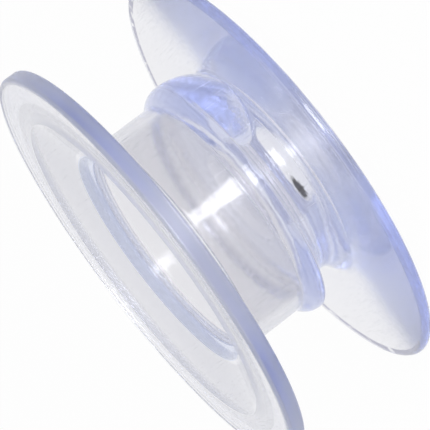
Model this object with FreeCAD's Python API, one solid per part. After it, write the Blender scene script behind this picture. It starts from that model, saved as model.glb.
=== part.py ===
# Clear sewing machine bobbin, moulded in one piece: a dished upper flange, a hollow hub with a collar,
# a groove that a rounded lug bridges on one side, and a lower flange that is flat inside and domed outside.
# It stands on the foot of the lower flange. Millimetres, +Z up along the bobbin's axis.
import FreeCAD, Part
import math
import os

Vector = FreeCAD.Vector

# Upper flange
top_flange_diameter = 25.7
top_rim_thickness = 1.0
top_rim_round = 0.22
top_land_width = 2.95         # flat ring between the rim and the dish
dish_depth = 1.1              # fall of the dish from the flat ring to the lip of the recess
land_round = 0.12             # softened crease between the flat ring and the dish
under_land_width = 2.65       # flat ring on the flange's inner face, which then follows the dish
under_round = 2.5

# Lower flange
bottom_flange_diameter = 25.9
bottom_rim_thickness = 0.65   # the rim is a full round
dome_rise = 1.0               # lift of the rim above the foot
foot_diameter = 12.4

# Hub
winding_width = 8.2           # between the two flanges, at their rims
hub_diameter = 13.9
hub_wall = 0.6
hub_fillet = 0.5              # where the hub runs into the upper flange
lip_width = 0.6               # sloping lip around the mouth of the recess
lip_drop = 0.55
lip_round = 0.15
recess_floor_lift = 0.05      # the recess's floor lies this far above the groove's upper edge
recess_corner = 0.6
spindle_hole_diameter = 6.0
hole_round = 0.1              # on the edges of the spindle hole

# Collar and groove, next to the lower flange
groove_width = 2.3            # half round in section
groove_depth = 1.05           # below the hub's surface
collar_height = 0.61          # above the hub's surface
collar_slope = 60.0           # degrees, steepest part of the collar's upper side
collar_fillet = 0.2           # where the collar's upper side runs into the hub
collar_lower_round = 0.18
collar_land = 0.05            # cylinder between the collar's two rounded edges
least_flat = 0.02             # straight run left between two rounds that follow each other

# Lug that bridges the groove
lug_section_radius = 3.7      # of the arc from the collar's crest down to the flange
lug_drop = 0.02               # its highest point lies this far inside the collar's crest
lug_overlap = 0.1             # how far the lug sinks into the groove's floor and the flange
lug_shoulder_drop = 0.35      # below the groove's upper edge, where its root slopes out, clear of the recess
lug_start_angle = -35.0       # degrees from +X, at the middle of the first rounded end
lug_sweep = 49.0              # from there to the middle of the other end

# Heights and radii that follow
rim_low_z = dome_rise
face_z = rim_low_z + bottom_rim_thickness
groove_top_z = face_z + groove_width
top_rim_low_z = face_z + winding_width
top_z = top_rim_low_z + top_rim_thickness
top_radius = top_flange_diameter / 2
land_radius = top_radius - top_land_width
under_land_radius = top_radius - under_land_width
bottom_radius = bottom_flange_diameter / 2
rim_round = bottom_rim_thickness / 2
hub_radius = hub_diameter / 2
recess_radius = hub_radius - hub_wall
recess_floor_z = groove_top_z + recess_floor_lift
lip_radius = recess_radius + lip_width
lip_z = top_z - dish_depth
dish_slope = dish_depth / (land_radius - lip_radius)
hole_radius = spindle_hole_diameter / 2
foot_radius = foot_diameter / 2
groove_radius = hub_radius - groove_depth
collar_radius = hub_radius + collar_height

# The collar's upper side: the small fillet at the hub and a broad crown outside it share the flank
flank_length = collar_height / math.sin(math.radians(collar_slope))
flank_per_radius = math.tan(math.radians(collar_slope / 2))
crown_round = (flank_length - least_flat) / flank_per_radius - collar_fillet
flank_low_z = groove_top_z + collar_lower_round + collar_land + crown_round * flank_per_radius
flank_high_z = flank_low_z + collar_height / math.tan(math.radians(collar_slope))

# The lug's section: an arc about a centre inside the hub, level with the groove's upper edge,
# from inside the flange to inside the collar
lug_ring_radius = collar_radius - lug_drop - lug_section_radius
lug_centre_z = groove_top_z
lug_inner_radius = groove_radius - lug_overlap
lug_neck_radius = recess_radius + hub_wall / 2
lug_shoulder_z = groove_top_z - lug_shoulder_drop
lug_low_z = face_z - lug_overlap
lug_high_z = groove_top_z + collar_lower_round + collar_land / 2


def at(radius, height):
    return Vector(radius, 0, height)


def rounded_chain(corners):
    # Lines through (radius, height, round) corners, each inner corner eased by a tangent arc of its own round
    points = [at(radius, height) for radius, height, _ in corners]
    edges = []
    start = points[0]
    for index in range(1, len(points) - 1):
        corner = points[index]
        before = (points[index - 1] - corner).normalize()
        after = (points[index + 1] - corner).normalize()
        half_angle = before.getAngle(after) / 2
        round_radius = corners[index][2]
        reach = round_radius / math.tan(half_angle)
        arc_start = corner + before * reach
        arc_end = corner + after * reach
        middle_way = (before + after).normalize()
        arc_middle = corner + middle_way * (round_radius / math.sin(half_angle) - round_radius)
        edges.append(Part.LineSegment(start, arc_start).toShape())
        edges.append(Part.Arc(arc_start, arc_middle, arc_end).toShape())
        start = arc_end
    edges.append(Part.LineSegment(start, points[-1]).toShape())
    return edges


def lower_rim():
    # Full round from the dome up to the flat inner face
    low = at(bottom_radius - rim_round, rim_low_z)
    outermost = at(bottom_radius, rim_low_z + rim_round)
    high = at(bottom_radius - rim_round, face_z)
    return Part.Arc(low, outermost, high).toShape()


def dome():
    # Spherical underside, its centre on the axis, from the edge of the foot out to the lower rim
    rim_inner = bottom_radius - rim_round
    centre_z = (rim_inner ** 2 - foot_radius ** 2 + rim_low_z ** 2) / (2 * rim_low_z)
    sphere_radius = math.hypot(foot_radius, centre_z)
    middle_radius = (foot_radius + rim_inner) / 2
    middle_z = centre_z - math.sqrt(sphere_radius ** 2 - middle_radius ** 2)
    return Part.Arc(at(foot_radius, 0), at(middle_radius, middle_z), at(rim_inner, rim_low_z)).toShape()


def turned_body():
    groove_round = (groove_width - least_flat) / 2
    under_hub_z = top_rim_low_z - dish_slope * (under_land_radius - hub_radius)
    corners = [
        (bottom_radius - rim_round, face_z, 0),
        (groove_radius, face_z, groove_round),
        (groove_radius, groove_top_z, groove_round),
        (collar_radius, groove_top_z, collar_lower_round),
        (collar_radius, flank_low_z, crown_round),
        (hub_radius, flank_high_z, collar_fillet),
        (hub_radius, under_hub_z, hub_fillet),
        (under_land_radius, top_rim_low_z, under_round),
        (top_radius, top_rim_low_z, top_rim_round),
        (top_radius, top_z, top_rim_round),
        (land_radius, top_z, land_round),
        (lip_radius, lip_z, lip_round),
        (recess_radius, lip_z - lip_drop, lip_round),
        (recess_radius, recess_floor_z, recess_corner),
        (hole_radius, recess_floor_z, hole_round),
        (hole_radius, 0, hole_round),
        (foot_radius, 0, 0),
    ]
    wire = Part.Wire([lower_rim()] + rounded_chain(corners) + [dome()])
    return Part.Face(wire).revolve(Vector(0, 0, 0), Vector(0, 0, 1), 360)


def lug_reach(height):
    # Radius of the lug's surface at a height
    return lug_ring_radius + math.sqrt(lug_section_radius ** 2 - (height - lug_centre_z) ** 2)


def lug_root(high_outer, low_outer):
    # Straight sides of the lug's section: top, root inside the hub, and underside inside the flange
    neck = at(lug_neck_radius, lug_high_z)
    shoulder = at(lug_inner_radius, lug_shoulder_z)
    low_inner = at(lug_inner_radius, lug_low_z)
    return Part.makePolygon([high_outer, neck, shoulder, low_inner, low_outer]).Edges


def lug_bar():
    # The middle of the lug, its section turned about the bobbin's axis
    low_outer = at(lug_reach(lug_low_z), lug_low_z)
    high_outer = at(lug_reach(lug_high_z), lug_high_z)
    middle_z = (lug_low_z + lug_high_z) / 2
    outer_arc = Part.Arc(low_outer, at(lug_reach(middle_z), middle_z), high_outer).toShape()
    section = Part.Face(Part.Wire(lug_root(high_outer, low_outer) + [outer_arc]))
    return section.revolve(Vector(0, 0, 0), Vector(0, 0, 1), lug_sweep)


def lug_end(facing):
    # Half a ball of the section's radius, kept to the ring that the lug fills
    low_outer = at(collar_radius, lug_low_z)
    high_outer = at(collar_radius, lug_high_z)
    outer_side = Part.LineSegment(low_outer, high_outer).toShape()
    section = Part.Face(Part.Wire(lug_root(high_outer, low_outer) + [outer_side]))
    ring = section.revolve(Vector(0, 0, 0), Vector(0, 0, 1), 360)
    centre = at(lug_ring_radius, lug_centre_z)
    half_ball = Part.makeSphere(lug_section_radius, centre, Vector(0, 0, 1), -90, 90, 180)
    half_ball.rotate(centre, Vector(0, 0, 1), facing)
    return half_ball.common(ring)


def lug():
    # A bar bent along the groove, with a rounded end at each side
    first_end = lug_end(180)
    last_end = lug_end(0)
    last_end.rotate(Vector(0, 0, 0), Vector(0, 0, 1), lug_sweep)
    pieces = [lug_bar(), first_end, last_end]
    for piece in pieces:
        piece.rotate(Vector(0, 0, 0), Vector(0, 0, 1), lug_start_angle)
    return pieces


body = turned_body()
bobbin = body.fuse(lug()).removeSplitter()
if bobbin.ShapeType == "Compound" and len(bobbin.Solids) == 1:
    bobbin = bobbin.Solids[0]
os.makedirs("parts", exist_ok=True)
bobbin.exportStep("parts/bobbin.step")
print("bobbin", len(bobbin.Solids), "solid, valid", bobbin.isValid(), "volume", round(bobbin.Volume, 2))
box = bobbin.optimalBoundingBox(True, False)
print("size", round(box.XLength, 3), round(box.YLength, 3), round(box.ZLength, 3), "base", round(box.ZMin, 4))
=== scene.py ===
import bpy
import math
from mathutils import Euler, Matrix, Vector


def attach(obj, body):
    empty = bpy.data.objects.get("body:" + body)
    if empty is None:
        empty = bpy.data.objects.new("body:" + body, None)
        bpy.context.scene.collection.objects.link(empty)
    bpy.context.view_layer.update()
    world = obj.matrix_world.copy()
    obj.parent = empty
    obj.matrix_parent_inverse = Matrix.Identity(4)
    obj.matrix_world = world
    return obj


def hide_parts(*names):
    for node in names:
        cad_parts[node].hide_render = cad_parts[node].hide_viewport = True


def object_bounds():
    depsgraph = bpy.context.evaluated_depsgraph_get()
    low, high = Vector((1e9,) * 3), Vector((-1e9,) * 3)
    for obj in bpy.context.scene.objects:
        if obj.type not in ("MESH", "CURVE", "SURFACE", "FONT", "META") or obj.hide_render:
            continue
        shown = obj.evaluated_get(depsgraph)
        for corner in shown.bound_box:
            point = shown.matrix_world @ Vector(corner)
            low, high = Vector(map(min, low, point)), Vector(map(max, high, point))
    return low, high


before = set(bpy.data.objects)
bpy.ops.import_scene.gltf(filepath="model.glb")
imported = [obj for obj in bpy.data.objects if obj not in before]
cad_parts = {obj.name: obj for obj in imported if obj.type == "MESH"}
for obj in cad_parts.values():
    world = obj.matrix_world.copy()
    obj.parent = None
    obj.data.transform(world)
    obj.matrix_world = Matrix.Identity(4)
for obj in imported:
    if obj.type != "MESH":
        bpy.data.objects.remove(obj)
cadLow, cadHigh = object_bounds()
mm = 0.001
topPlane = cadHigh.z          # outer plane of the upper flange
print("frame loaded, height", round(topPlane / mm, 2), "mm")


# Small helpers for node trees
def feed(tree, socket, value):
    if isinstance(value, bpy.types.NodeSocket):
        tree.links.new(value, socket)
    else:
        socket.default_value = value


def addNode(tree, kind, **settings):
    node = tree.nodes.new(kind)
    for name, value in settings.items():
        setattr(node, name, value)
    return node


def calc(tree, operation, first, second=None, third=None, clamp=False):
    node = addNode(tree, "ShaderNodeMath", operation=operation, use_clamp=clamp)
    for slot, value in enumerate((first, second, third)):
        if value is not None:
            feed(tree, node.inputs[slot], value)
    return node.outputs[0]


# Section of the bobbin, in millimetres from the axis and from the table
bobbin = {
    "topRadius": 12.85, "topRim": 1.0, "topRimRound": 0.22,
    "landWidth": 2.95, "landRound": 0.12, "dishDepth": 1.1, "underLandWidth": 2.65, "underRound": 2.5,
    "bottomRadius": 12.95, "bottomRim": 0.65, "domeRise": 1.0, "footRadius": 6.2,
    "windingWidth": 8.2, "hubRadius": 6.95, "hubWall": 0.6, "hubFillet": 0.5,
    "lipWidth": 0.6, "lipDrop": 0.55, "lipRound": 0.15,
    "recessDepth": 6.85, "recessRound": 0.6, "holeRadius": 3.0, "holeRound": 0.1,
    "grooveWidth": 2.3, "grooveDepth": 1.05, "leastFlat": 0.02,
    "collarHeight": 0.61, "collarSlope": 60.0,
    "collarFillet": 0.2, "collarLowerRound": 0.18, "collarLand": 0.05,
    "lugSection": 3.7, "lugRise": 0.05, "lugSide": 0.1, "lugBlend": 0.12,
    "lugFall": 2.0,           # how much steeper the lug falls to the hub than to the flange
    "lugFade": 0.4,           # how far above the collar the lug may still swell the hub
    "lugStart": 55.0, "lugSweep": 49.0,
    "stepsAround": 360, "arcStep": 9.0, "domeStep": 0.6,
}


def arcPoints(centre, radius, startAngle, turn, arcStep):
    count = max(4, math.ceil(abs(turn) / math.radians(arcStep)))
    points = []
    for index in range(count + 1):
        angle = startAngle + turn * index / count
        points.append(Vector((centre.x + radius * math.cos(angle), centre.y + radius * math.sin(angle))))
    return points


def roundedChain(corners, arcStep):
    # straight runs with each inner corner eased by a tangent arc
    chain = [Vector(corners[0][:2])]
    for index in range(1, len(corners) - 1):
        corner = Vector(corners[index][:2])
        easing = corners[index][2]
        before = (Vector(corners[index - 1][:2]) - corner).normalized()
        after = (Vector(corners[index + 1][:2]) - corner).normalized()
        halfAngle = before.angle(after) / 2
        reach = easing / math.tan(halfAngle)
        centre = corner + (before + after).normalized() * (easing / math.sin(halfAngle))
        start = corner + before * reach - centre
        end = corner + after * reach - centre
        startAngle = math.atan2(start.y, start.x)
        turn = math.atan2(start.x * end.y - start.y * end.x, start.dot(end))
        chain += arcPoints(centre, easing, startAngle, turn, arcStep)
    chain.append(Vector(corners[-1][:2]))
    return chain


def supported(points, margin=0.06, longest=1.2):
    # extra points near the ends of long runs keep flat faces flat under smooth shading
    out = []
    for index, here in enumerate(points):
        ahead = points[(index + 1) % len(points)]
        run = (ahead - here).length
        if run < 1e-6:
            continue
        out.append(here)
        if run > 5 * margin:
            count = max(1, math.ceil(run / longest))
            out.append(here.lerp(ahead, margin / run))
            for part in range(1, count):
                out.append(here.lerp(ahead, part / count))
            out.append(here.lerp(ahead, 1 - margin / run))
    return out


def bobbinSection(s):
    faceZ = s["domeRise"] + s["bottomRim"]
    grooveTop = faceZ + s["grooveWidth"]
    topRimLow = faceZ + s["windingWidth"]
    topZ = topRimLow + s["topRim"]
    landRadius = s["topRadius"] - s["landWidth"]
    rimRound = s["bottomRim"] / 2
    rimInner = s["bottomRadius"] - rimRound
    recessRadius = s["hubRadius"] - s["hubWall"]
    floorZ = topZ - s["recessDepth"]
    underLandRadius = s["topRadius"] - s["underLandWidth"]
    lipRadius = recessRadius + s["lipWidth"]
    lipZ = topZ - s["dishDepth"]
    dishSlope = s["dishDepth"] / (landRadius - lipRadius)
    underHub = topRimLow - dishSlope * (underLandRadius - s["hubRadius"])
    grooveRadius = s["hubRadius"] - s["grooveDepth"]
    collarRadius = s["hubRadius"] + s["collarHeight"]
    slope = math.radians(s["collarSlope"])
    flank = s["collarHeight"] / math.sin(slope)
    crownRound = (flank - s["leastFlat"]) / math.tan(slope / 2) - s["collarFillet"]
    flankLow = grooveTop + s["collarLowerRound"] + s["collarLand"] + crownRound * math.tan(slope / 2)
    flankHigh = flankLow + s["collarHeight"] / math.tan(slope)
    grooveRound = (s["grooveWidth"] - s["leastFlat"]) / 2
    corners = [
        (rimInner, faceZ, 0),
        (grooveRadius, faceZ, grooveRound),
        (grooveRadius, grooveTop, grooveRound),
        (collarRadius, grooveTop, s["collarLowerRound"]),
        (collarRadius, flankLow, crownRound),
        (s["hubRadius"], flankHigh, s["collarFillet"]),
        (s["hubRadius"], underHub, s["hubFillet"]),
        (underLandRadius, topRimLow, s["underRound"]),
        (s["topRadius"], topRimLow, s["topRimRound"]),
        (s["topRadius"], topZ, s["topRimRound"]),
        (landRadius, topZ, s["landRound"]),
        (lipRadius, lipZ, s["lipRound"]),
        (recessRadius, lipZ - s["lipDrop"], s["lipRound"]),
        (recessRadius, floorZ, s["recessRound"]),
        (s["holeRadius"], floorZ, s["holeRound"]),
        (s["holeRadius"], 0, s["holeRound"]),
        (s["footRadius"], 0, 0),
    ]
    chain = roundedChain(corners, s["arcStep"])
    # domed underside, a sphere centred on the axis, then the full round of the lower rim
    domeZ = (rimInner ** 2 - s["footRadius"] ** 2 + s["domeRise"] ** 2) / (2 * s["domeRise"])
    domeRadius = math.hypot(s["footRadius"], domeZ)
    start = math.atan2(-domeZ, s["footRadius"])
    end = math.atan2(s["domeRise"] - domeZ, rimInner)
    chain += arcPoints(Vector((0, domeZ)), domeRadius, start, end - start, s["domeStep"])[1:]
    rimCentre = Vector((rimInner, s["domeRise"] + rimRound))
    chain += arcPoints(rimCentre, rimRound, -math.pi / 2, math.pi, s["arcStep"])[1:-1]
    lug = {
        "Lug Radius": s["lugSection"],
        "Lug Ring": collarRadius + s["lugRise"] - s["lugSection"],
        "Lug Height": grooveTop + s["lugSide"],
        "Lug Blend": s["lugBlend"],
    }
    points = supported(chain)
    # the section starts on the lower flange's inner face, so its first rows are groove, collar and hub
    lugRows = next(index for index, point in enumerate(points) if point.y > flankHigh + s["lugFade"])
    return points, lug, lugRows


def turnedTree(sectionCount):
    # turns the section round the axis and swells the lug out of the groove
    tree = bpy.data.node_groups.new("turnedBobbin", "GeometryNodeTree")
    face = tree.interface
    face.new_socket("Section", in_out="INPUT", socket_type="NodeSocketGeometry")
    face.new_socket("Steps Around", in_out="INPUT", socket_type="NodeSocketInt")
    lugInputs = ("Radius", "Ring", "Height", "Fall", "Blend", "Middle", "Half Sweep", "Rows")
    for name in lugInputs:
        face.new_socket("Lug " + name, in_out="INPUT", socket_type="NodeSocketFloat")
    face.new_socket("Plastic", in_out="INPUT", socket_type="NodeSocketMaterial")
    face.new_socket("Bobbin", in_out="OUTPUT", socket_type="NodeSocketGeometry")
    given = addNode(tree, "NodeGroupInput").outputs
    grid = addNode(tree, "GeometryNodeMeshGrid")
    feed(tree, grid.inputs["Size X"], 1.0)
    feed(tree, grid.inputs["Size Y"], 1.0)
    feed(tree, grid.inputs["Vertices X"], calc(tree, "ADD", given["Steps Around"], 1.0))
    feed(tree, grid.inputs["Vertices Y"], sectionCount + 1)
    place = addNode(tree, "GeometryNodeInputPosition").outputs[0]
    split = addNode(tree, "ShaderNodeSeparateXYZ")
    feed(tree, split.inputs[0], place)
    turn = calc(tree, "MULTIPLY", calc(tree, "ADD", split.outputs["X"], 0.5), 2 * math.pi)
    row = calc(tree, "MULTIPLY", calc(tree, "ADD", split.outputs["Y"], 0.5), float(sectionCount))
    row = calc(tree, "MODULO", calc(tree, "ROUND", row), float(sectionCount))
    sample = addNode(tree, "GeometryNodeSampleIndex", data_type="FLOAT_VECTOR", domain="POINT")
    feed(tree, sample.inputs["Geometry"], given["Section"])
    feed(tree, sample.inputs["Value"], addNode(tree, "GeometryNodeInputPosition").outputs[0])
    feed(tree, sample.inputs["Index"], row)
    section = addNode(tree, "ShaderNodeSeparateXYZ")
    feed(tree, section.inputs[0], sample.outputs["Value"])
    radius = section.outputs["X"]
    height = section.outputs["Z"]
    # the lug is a round bar bent along the groove with a half ball at each end
    away = calc(tree, "ABSOLUTE", calc(tree, "SUBTRACT", turn, given["Lug Middle"]))
    past = calc(tree, "MAXIMUM", calc(tree, "SUBTRACT", away, given["Lug Half Sweep"]), 0.0)
    along = calc(tree, "MULTIPLY", calc(tree, "COSINE", past), given["Lug Ring"])
    past = calc(tree, "MULTIPLY", calc(tree, "SINE", past), given["Lug Ring"])
    rise = calc(tree, "SUBTRACT", height, given["Lug Height"])
    steeper = calc(tree, "MULTIPLY", calc(tree, "MAXIMUM", rise, 0.0), given["Lug Fall"])
    rise = calc(tree, "MAXIMUM", calc(tree, "MULTIPLY", rise, -1.0), steeper)
    left = calc(tree, "MULTIPLY", given["Lug Radius"], given["Lug Radius"])
    left = calc(tree, "SUBTRACT", left, calc(tree, "MULTIPLY", past, past))
    left = calc(tree, "SUBTRACT", left, calc(tree, "MULTIPLY", rise, rise))
    inside = calc(tree, "SQRT", calc(tree, "MAXIMUM", left, 0.0))
    outside = calc(tree, "SQRT", calc(tree, "MAXIMUM", calc(tree, "MULTIPLY", left, -1.0), 0.0))
    reach = calc(tree, "ADD", along, inside)
    fallAway = 2.0            # past the bar's edge the reach drops quickly, clear of the groove's floor
    reach = calc(tree, "SUBTRACT", reach, calc(tree, "MULTIPLY", outside, fallAway))
    outer = calc(tree, "LESS_THAN", row, given["Lug Rows"])
    swollen = calc(tree, "SMOOTH_MAX", radius, calc(tree, "MULTIPLY", reach, outer), given["Lug Blend"])
    join = addNode(tree, "ShaderNodeCombineXYZ")
    forward = calc(tree, "MULTIPLY", calc(tree, "COSINE", turn), -1.0)
    feed(tree, join.inputs["X"], calc(tree, "MULTIPLY", swollen, calc(tree, "SINE", turn)))
    feed(tree, join.inputs["Y"], calc(tree, "MULTIPLY", swollen, forward))
    feed(tree, join.inputs["Z"], height)
    setPlace = addNode(tree, "GeometryNodeSetPosition")
    feed(tree, setPlace.inputs["Geometry"], grid.outputs["Mesh"])
    feed(tree, setPlace.inputs["Position"], join.outputs[0])
    weld = addNode(tree, "GeometryNodeMergeByDistance")     # closes the seams of the grid
    feed(tree, weld.inputs["Geometry"], setPlace.outputs[0])
    feed(tree, weld.inputs["Distance"], 1e-7)
    smooth = addNode(tree, "GeometryNodeSetShadeSmooth")
    feed(tree, smooth.inputs["Geometry"], weld.outputs[0])
    solid = addNode(tree, "GeometryNodeRealizeInstances")
    feed(tree, solid.inputs["Geometry"], smooth.outputs[0])
    paint = addNode(tree, "GeometryNodeSetMaterial")
    feed(tree, paint.inputs["Geometry"], solid.outputs[0])
    feed(tree, paint.inputs["Material"], given["Plastic"])
    feed(tree, addNode(tree, "NodeGroupOutput").inputs["Bobbin"], paint.outputs[0])
    return tree


def buildBobbin(s, plastic):
    points, lug, lugRows = bobbinSection(s)
    mesh = bpy.data.meshes.new("bobbinSection")
    edges = [(index, (index + 1) % len(points)) for index in range(len(points))]
    mesh.from_pydata([(p.x * mm, 0, p.y * mm) for p in points], edges, [])
    host = bpy.data.objects.new("bobbinSection", mesh)
    bpy.context.scene.collection.objects.link(host)
    tree = turnedTree(len(points))
    modifier = host.modifiers.new("turned", "NODES")
    modifier.node_group = tree
    values = {name: value * mm for name, value in lug.items()}
    values["Lug Fall"] = s["lugFall"]
    values["Lug Rows"] = float(lugRows)
    values["Steps Around"] = s["stepsAround"]
    values["Lug Middle"] = math.radians(s["lugStart"] + s["lugSweep"] / 2)
    values["Lug Half Sweep"] = math.radians(s["lugSweep"] / 2)
    values["Plastic"] = plastic
    for item in tree.interface.items_tree:
        if item.in_out == "INPUT" and item.name in values:
            modifier[item.identifier] = values[item.name]
    graph = bpy.context.evaluated_depsgraph_get()
    made = bpy.data.meshes.new_from_object(host.evaluated_get(graph))
    bpy.data.objects.remove(host)
    made.name = "clearBobbin"
    made.materials.pop(index=0)         # the grid leaves an empty slot in front of the plastic
    piece = bpy.data.objects.new("clearBobbin", made)
    bpy.context.scene.collection.objects.link(piece)
    print("bobbin turned:", len(points), "section points,", len(made.polygons), "faces")
    return piece


# Clear tinted plastic, polished on most faces, with fine haze, scratches and a few dark specks.
# A zone is a ring around the axis, as its least and greatest radius and then its least and greatest height.
plasticLook = {
    "refraction": 1.5, "clear": (0.865, 0.86, 0.88, 1), "tint": (0.36, 0.47, 0.88, 1), "density": 44.0,
    "polish": 0.11, "hazeSize": 0.16, "haze": 0.10,
    "rimZone": (12.5, 14.0, 9.7, 12.0), "rimDull": 0.32,
    "floorZone": (0.0, 6.3, 3.5, 4.65), "floorDull": 0.15,
    "underZone": (7.6, 11.2, 7.5, 12.0), "underDull": 0.38,
    "underFall": 0.5, "landAt": 9.9, "dishSlope": 0.373,
    "lipZone": (6.3, 7.0, 9.15, 9.85), "lipColour": (0.62, 0.675, 0.86, 1),
    "boreZone": (6.2, 6.5, 4.3, 9.15), "boreColour": (0.78, 0.775, 0.80, 1),
    "darkEdgeZone": (12.5, 12.8, -1.0, 1.1), "darkEdgeDull": 0.5, "darkEdgeColour": (0.2, 0.2, 0.36, 1),
    "darkEdgeSize": 0.6, "darkEdgeShare": 0.42,
    "peelSize": 0.5, "peelHeight": 0.003,
    "rippleZone": (5.7, 7.8, 1.7, 5.0), "rippleSize": 0.55, "rippleHeight": 0.02,
    "scratchTo": 12.2, "scratchTurns": ((0.4, 0.2, 0.9), (0.1, 0.9, 2.3)),
    "scratchSize": 2.2, "scratchThin": 30.0, "scratchDepth": 0.0035,
    "scratchShare": 0.67, "scratchFade": 0.08,
    "speckGap": 2.6, "speckSize": 0.045, "speckColour": (0.12, 0.11, 0.13, 1), "speckShare": 0.25,
}


def between(tree, value, low, high):
    # 1 inside the range in millimetres, 0 outside
    above = calc(tree, "GREATER_THAN", value, low * mm)
    return calc(tree, "MULTIPLY", above, calc(tree, "LESS_THAN", value, high * mm))


def ring(tree, radius, height, limits):
    within = between(tree, radius, limits[0], limits[1])
    return calc(tree, "MULTIPLY", within, between(tree, height, limits[2], limits[3]))


def noise(tree, place, size, detail=2.0):
    node = addNode(tree, "ShaderNodeTexNoise")
    feed(tree, node.inputs["Vector"], place)
    feed(tree, node.inputs["Scale"], 1 / (size * mm))
    feed(tree, node.inputs["Detail"], detail)
    return node.outputs[0]


def scratches(tree, place, s, turn):
    # thin broken lines: noise that is squeezed across one direction and cut at a high level
    squeeze = addNode(tree, "ShaderNodeMapping")
    feed(tree, squeeze.inputs["Vector"], place)
    feed(tree, squeeze.inputs["Rotation"], turn)
    feed(tree, squeeze.inputs["Scale"], (s["scratchThin"], 1.0, 1.0))
    lines = noise(tree, squeeze.outputs[0], s["scratchSize"], 1.0)
    node = addNode(tree, "ShaderNodeMapRange")
    feed(tree, node.inputs["Value"], lines)
    feed(tree, node.inputs["From Min"], s["scratchShare"])
    feed(tree, node.inputs["From Max"], s["scratchShare"] + s["scratchFade"])
    return node.outputs["Result"]


def specks(tree, place, s):
    # a few tiny inclusions, each near the middle of a cell
    cells = addNode(tree, "ShaderNodeTexVoronoi")
    feed(tree, cells.inputs["Vector"], place)
    feed(tree, cells.inputs["Scale"], 1 / (s["speckGap"] * mm))
    near = calc(tree, "LESS_THAN", cells.outputs["Distance"], s["speckSize"] / s["speckGap"])
    chance = addNode(tree, "ShaderNodeSeparateColor")
    feed(tree, chance.inputs[0], cells.outputs["Color"])
    return calc(tree, "MULTIPLY", near, calc(tree, "LESS_THAN", chance.outputs[0], s["speckShare"]))


def clearPlastic(s):
    material = bpy.data.materials.new("clearTintedPlastic")
    material.use_nodes = True
    tree = material.node_tree
    shader = tree.nodes["Principled BSDF"]
    feed(tree, shader.inputs["Transmission Weight"], 1.0)
    feed(tree, shader.inputs["IOR"], s["refraction"])
    place = addNode(tree, "ShaderNodeTexCoord").outputs["Object"]
    split = addNode(tree, "ShaderNodeSeparateXYZ")
    feed(tree, split.inputs[0], place)
    height = split.outputs["Z"]
    flat = addNode(tree, "ShaderNodeCombineXYZ")
    feed(tree, flat.inputs["X"], split.outputs["X"])
    feed(tree, flat.inputs["Y"], split.outputs["Y"])
    length = addNode(tree, "ShaderNodeVectorMath", operation="LENGTH")
    feed(tree, length.inputs[0], flat.outputs[0])
    radius = length.outputs["Value"]

    rim = ring(tree, radius, height, s["rimZone"])
    floor = ring(tree, radius, height, s["floorZone"])
    lip = ring(tree, radius, height, s["lipZone"])
    bore = ring(tree, radius, height, s["boreZone"])
    rippled = ring(tree, radius, height, s["rippleZone"])
    # the upper flange's underside follows the dish, so a sloping level tells it from the face above
    inward = calc(tree, "MAXIMUM", calc(tree, "SUBTRACT", s["landAt"] * mm, radius), 0.0)
    level = calc(tree, "MULTIPLY_ADD", inward, s["dishSlope"], height)
    under = calc(tree, "LESS_THAN", level, topPlane - s["underFall"] * mm)
    under = calc(tree, "MULTIPLY", under, ring(tree, radius, height, s["underZone"]))
    # the lower flange's outer edge is painted dark violet and made duller in patches
    patches = calc(tree, "GREATER_THAN", noise(tree, place, s["darkEdgeSize"]), s["darkEdgeShare"])
    darkEdge = calc(tree, "MULTIPLY", patches, ring(tree, radius, height, s["darkEdgeZone"]))

    haze = calc(tree, "SUBTRACT", noise(tree, place, s["hazeSize"], 3.0), 0.5)
    rough = calc(tree, "MULTIPLY_ADD", haze, s["haze"], s["polish"])
    dullZones = ((rim, "rimDull"), (floor, "floorDull"), (under, "underDull"), (darkEdge, "darkEdgeDull"))
    for zone, dull in dullZones:
        rough = calc(tree, "MULTIPLY_ADD", zone, s[dull] - s["polish"], rough)
    feed(tree, shader.inputs["Roughness"], calc(tree, "MAXIMUM", rough, 0.0, clamp=True))

    paint = s["clear"]
    flecks = specks(tree, place, s)
    paintZones = ((flecks, "speckColour"), (lip, "lipColour"), (bore, "boreColour"), (darkEdge, "darkEdgeColour"))
    # sockets 6 and 7 of the mix are its two colours
    for zone, colour in paintZones:
        mix = addNode(tree, "ShaderNodeMix", data_type="RGBA")
        feed(tree, mix.inputs["Factor"], zone)
        feed(tree, mix.inputs[6], paint)
        feed(tree, mix.inputs[7], s[colour])
        paint = mix.outputs[2]
    feed(tree, shader.inputs["Base Color"], paint)

    relief = calc(tree, "MULTIPLY", noise(tree, place, s["peelSize"], 3.0), s["peelHeight"] * mm)
    ripple = calc(tree, "MULTIPLY", noise(tree, place, s["rippleSize"], 1.0), rippled)
    relief = calc(tree, "MULTIPLY_ADD", ripple, s["rippleHeight"] * mm, relief)
    inRims = calc(tree, "LESS_THAN", radius, s["scratchTo"] * mm)
    for turn in s["scratchTurns"]:
        lines = calc(tree, "MULTIPLY", scratches(tree, place, s, turn), inRims)
        relief = calc(tree, "MULTIPLY_ADD", lines, -s["scratchDepth"] * mm, relief)
    bump = addNode(tree, "ShaderNodeBump")
    feed(tree, bump.inputs["Height"], relief)
    feed(tree, bump.inputs["Distance"], 1.0)
    feed(tree, shader.inputs["Normal"], bump.outputs[0])

    depth = addNode(tree, "ShaderNodeVolumeAbsorption")
    feed(tree, depth.inputs["Color"], s["tint"])
    feed(tree, depth.inputs["Density"], s["density"])
    feed(tree, tree.nodes["Material Output"].inputs["Volume"], depth.outputs[0])
    print("clear plastic made")
    return material


piece = buildBobbin(bobbin, clearPlastic(plasticLook))
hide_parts("bobbin")
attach(piece, "root")
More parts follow.
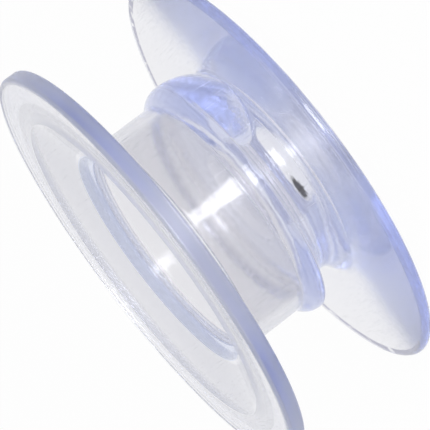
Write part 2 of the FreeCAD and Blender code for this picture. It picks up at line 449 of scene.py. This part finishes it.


# Studio: pale floor, a dark sheet of painted shade under the spindle hole, soft surroundings, a strip lamp
# and a low strip on the table
studio = {
    "floorSide": 4.0, "floorGap": 0.02,
    "floorColour": (0.9, 0.9, 0.9, 1), "floorRough": 0.8, "floorGlow": 0.97,
    "roomColour": (0.9, 0.9, 0.92, 1), "roomStrength": 0.5,
    "stripAt": (42, -295, 135), "stripAim": (0, 0, 7), "stripSize": (86, 240), "stripPower": 0.65,
    "tableStripAt": (5.6, -40, 0.4), "tableStripSize": (7.5, 44), "tableStripPower": 0.008,
    # the sheet of painted shade under the spindle hole: its place, size, ragged outline and dark colour
    "shadeSheetAt": (-1.9, 0.4), "shadeSheetSize": (1.1, 1.75), "shadeSheetSides": 26, "shadeSheetRagged": 0.35,
    "paintedShadeColour": (0.03, 0.02, 0.014, 1),
    "bounces": 24,            # clear plastic mirrors light inside itself many times
}


def seenDirectly(tree):
    # camera, mirrored and transmitted rays see the plain white of the background
    path = addNode(tree, "ShaderNodeLightPath")
    seen = calc(tree, "MAXIMUM", path.outputs["Is Camera Ray"], path.outputs["Is Transmission Ray"])
    return calc(tree, "MAXIMUM", seen, path.outputs["Is Glossy Ray"])


def addLamp(name, place, turn, size, power):
    # soft rectangular lamp, out of the camera's sight
    data = bpy.data.lights.new(name, "AREA")
    data.shape = "RECTANGLE"
    data.size, data.size_y = size[0] * mm, size[1] * mm
    data.energy = power
    lamp = bpy.data.objects.new(name, data)
    lamp.location = Vector(place) * mm
    lamp.rotation_euler = turn.to_euler()
    lamp.visible_camera = False
    bpy.context.scene.collection.objects.link(lamp)


def addPaintedHoleShade(s, level):
    # ragged dark sheet of painted shade under the spindle hole, standing in for the shade there, seen only
    # through the plastic, as a dark streak in the groove
    corners = []
    for index in range(s["shadeSheetSides"]):
        angle = 2 * math.pi * index / s["shadeSheetSides"]
        reach = 1 - s["shadeSheetRagged"] * (index % 2)
        x = s["shadeSheetAt"][0] + s["shadeSheetSize"][0] * reach * math.cos(angle)
        y = s["shadeSheetAt"][1] + s["shadeSheetSize"][1] * reach * math.sin(angle)
        corners.append((x * mm, y * mm, level))
    mesh = bpy.data.meshes.new("paintedHoleShade")
    mesh.from_pydata(corners, [], [list(range(s["shadeSheetSides"]))])
    shadeSheet = bpy.data.objects.new("paintedHoleShade", mesh)
    bpy.context.scene.collection.objects.link(shadeSheet)
    shadeSheet.visible_camera = False
    material = bpy.data.materials.new("paintedHoleShade")
    material.use_nodes = True
    tree = material.node_tree
    feed(tree, tree.nodes["Principled BSDF"].inputs["Base Color"], s["paintedShadeColour"])
    mesh.materials.append(material)


def addFloor(s, level):
    side = s["floorSide"] / 2
    corners = [(-side, -side, level), (side, -side, level), (side, side, level), (-side, side, level)]
    mesh = bpy.data.meshes.new("studioFloor")
    mesh.from_pydata(corners, [], [(0, 1, 2, 3)])
    floor = bpy.data.objects.new("studioFloor", mesh)
    bpy.context.scene.collection.objects.link(floor)
    material = bpy.data.materials.new("paleFloor")
    material.use_nodes = True
    tree = material.node_tree
    shader = tree.nodes["Principled BSDF"]
    feed(tree, shader.inputs["Base Color"], s["floorColour"])
    feed(tree, shader.inputs["Roughness"], s["floorRough"])
    glow = addNode(tree, "ShaderNodeEmission")
    mix = addNode(tree, "ShaderNodeMixShader")
    feed(tree, mix.inputs[0], calc(tree, "MULTIPLY", seenDirectly(tree), s["floorGlow"]))
    feed(tree, mix.inputs[1], shader.outputs[0])
    feed(tree, mix.inputs[2], glow.outputs[0])
    feed(tree, tree.nodes["Material Output"].inputs["Surface"], mix.outputs[0])
    mesh.materials.append(material)


def addRoom(s):
    world = bpy.data.worlds.new("studioRoom")
    bpy.context.scene.world = world
    world.use_nodes = True
    tree = world.node_tree
    room = tree.nodes["Background"]
    feed(tree, room.inputs["Color"], s["roomColour"])
    feed(tree, room.inputs["Strength"], s["roomStrength"])
    white = addNode(tree, "ShaderNodeBackground")
    feed(tree, white.inputs["Color"], (1, 1, 1, 1))
    mix = addNode(tree, "ShaderNodeMixShader")
    feed(tree, mix.inputs[0], seenDirectly(tree))
    feed(tree, mix.inputs[1], room.outputs[0])
    feed(tree, mix.inputs[2], white.outputs[0])
    feed(tree, tree.nodes["World Output"].inputs["Surface"], mix.outputs[0])


def buildStudio(s):
    level = -s["floorGap"] * mm
    addFloor(s, level)
    addPaintedHoleShade(s, level / 2)
    addRoom(s)
    stripAim = Vector(s["stripAim"]) - Vector(s["stripAt"])
    addLamp("stripLamp", s["stripAt"], stripAim.to_track_quat("-Z", "Y"), s["stripSize"], s["stripPower"])
    towards = math.atan2(s["tableStripAt"][0], -s["tableStripAt"][1])
    facingUp = Euler((math.pi, 0, towards)).to_quaternion()
    addLamp("tableStrip", s["tableStripAt"], facingUp, s["tableStripSize"], s["tableStripPower"])

    paths = bpy.context.scene.cycles
    paths.max_bounces = paths.glossy_bounces = paths.transmission_bounces = s["bounces"]
    print("studio built")


buildStudio(studio)


# Camera at the photograph's angle: low, close, and rolled so that the axis rises to the right
camera = {
    "away": 124.465, "aboveTop": 22.803, "lens": 192.975, "sensor": 36.0,
    "right": (-0.60712072, -0.17441669, -0.77523109),
    "up": (0.79460961, -0.13326291, -0.59231458),
    "back": (0.0, -0.97561253, 0.21949985),
}


def buildCamera(s):
    data = bpy.data.cameras.new("photoCamera")
    data.lens = s["lens"]
    data.sensor_width = s["sensor"]
    data.clip_start = 0.001
    eye = bpy.data.objects.new("photoCamera", data)
    bpy.context.scene.collection.objects.link(eye)
    place = Vector((0, -s["away"] * mm, topPlane + s["aboveTop"] * mm))
    turn = Matrix((s["right"], s["up"], s["back"])).transposed()
    eye.matrix_world = Matrix.Translation(place) @ turn.to_4x4()
    bpy.context.scene.camera = eye
    print("camera placed")


buildCamera(camera)
bpy.context.scene.view_settings.view_transform = "Standard"
